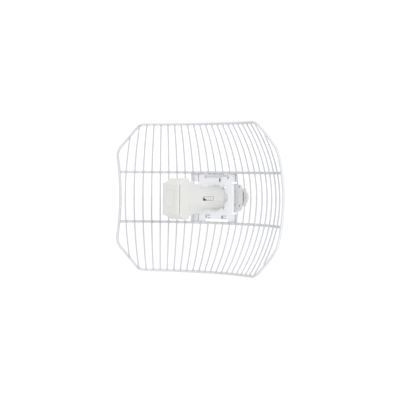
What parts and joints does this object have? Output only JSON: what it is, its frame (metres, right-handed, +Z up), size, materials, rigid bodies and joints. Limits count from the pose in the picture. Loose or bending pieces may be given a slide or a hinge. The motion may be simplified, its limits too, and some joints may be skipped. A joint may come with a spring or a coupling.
{
  "type": "parabolic grid antenna",
  "caption": "Off-white wire-grid dish antenna with an eight-sided rod rim, upright wires, a plug-in feed on an arm and a ball-joint mast bracket.",
  "frame": {"origin": "on the axis of the mast that the saddle holds, level with the middle of the reflector", "axes": "+Z up along the mast, -Y the way the antenna looks, +X to the right seen from the front of the mast looking along +Y"},
  "size_m": [0.3696, 0.2164, 0.281],
  "materials": {
    "coated_steel": "satin powder coat",
    "housing_plastic": "fine moulded texture",
    "feed_plastic": "fine moulded texture",
    "bearing_plastic": "smooth",
    "seal_rubber": "matt",
    "circuit_board": "solder mask",
    "plated_steel": "bright plated",
    "yellow_zinc": "yellow zinc plated",
    "clear_plastic": "clear moulded"
  },
  "bodies": {
    "mast_mount": {"mast_bracket": "housing_plastic"},
    "pan_ring": {"ball_ring": "bearing_plastic"},
    "tilt_seat": {"ball_seat": "bearing_plastic"},
    "antenna": {"rim_rod": "coated_steel", "cross_rod_upper": "coated_steel", "cross_rod_lower": "coated_steel", "wire_left_1": "coated_steel", "wire_left_2": "coated_steel", "wire_left_3": "coated_steel", "wire_left_4": "coated_steel", "wire_left_5": "coated_steel", "wire_left_6": "coated_steel", "wire_left_7": "coated_steel", "wire_left_8": "coated_steel", "wire_left_9": "coated_steel", "wire_right_1": "coated_steel", "wire_right_2": "coated_steel", "wire_right_3": "coated_steel", "wire_right_4": "coated_steel", "wire_right_5": "coated_steel", "wire_right_6": "coated_steel", "wire_right_7": "coated_steel", "wire_right_8": "coated_steel", "wire_right_9": "coated_steel", "wire_upper_1": "coated_steel", "wire_upper_2": "coated_steel", "wire_upper_3": "coated_steel", "wire_upper_4": "coated_steel", "wire_upper_5": "coated_steel", "wire_lower_1": "coated_steel", "wire_lower_2": "coated_steel", "wire_lower_3": "coated_steel", "wire_lower_4": "coated_steel", "wire_lower_5": "coated_steel", "centre_plate": "coated_steel", "housing_screws": "yellow_zinc", "rear_housing": "housing_plastic", "feed_body": "feed_plastic", "front_cover": "feed_plastic", "cover_seal": "seal_rubber", "main_board": "circuit_board", "board_screws": "plated_steel", "shield_can": "plated_steel", "dipole_board": "circuit_board", "splash_plate": "plated_steel", "splash_posts": "bearing_plastic", "ethernet_jack": "plated_steel", "port_bezel": "feed_plastic", "cover_pin": "plated_steel", "light_pipes": "clear_plastic"},
    "lock_nut": {"lock_nut": "housing_plastic"},
    "release_latch": {"release_latch": "feed_plastic"},
    "port_cover": {"port_cover": "feed_plastic"},
    "reset_button": {"reset_button": "bearing_plastic"}
  },
  "joints": [
    {"name": "pan", "type": "hinge", "parent": "mast_mount", "child": "pan_ring", "pos_m": [0, -0.054, 0], "axis": [0, 0, 1], "range_deg": [-15, 15]},
    {"name": "tilt", "type": "hinge", "parent": "pan_ring", "child": "tilt_seat", "pos_m": [0, -0.054, 0], "axis": [1, 0, 0], "range_deg": [-15, 15]},
    {"name": "roll", "type": "hinge", "parent": "tilt_seat", "child": "antenna", "pos_m": [0, -0.054, 0], "axis": [0, 1, 0], "range_deg": [-90, 90]},
    {"name": "lock_nut_turn", "type": "hinge", "parent": "antenna", "child": "lock_nut", "pos_m": [0, -0.043, 0], "axis": [0, 1, 0], "range_deg": [0, 120]},
    {"name": "latch_press", "type": "hinge", "parent": "antenna", "child": "release_latch", "pos_m": [0.0176, -0.1235, 0], "axis": [0, 0, -1], "range_deg": [0, 4], "stiffness_Nm_per_rad": 2},
    {"name": "port_cover_swing", "type": "hinge", "parent": "antenna", "child": "port_cover", "pos_m": [0, -0.1156, -0.0182], "axis": [-1, 0, 0], "range_deg": [0, 100]},
    {"name": "reset_press", "type": "slide", "parent": "antenna", "child": "reset_button", "axis": [0, 0, 1], "range_m": [0, 0.0006], "stiffness_N_per_m": 1500}
  ]
}
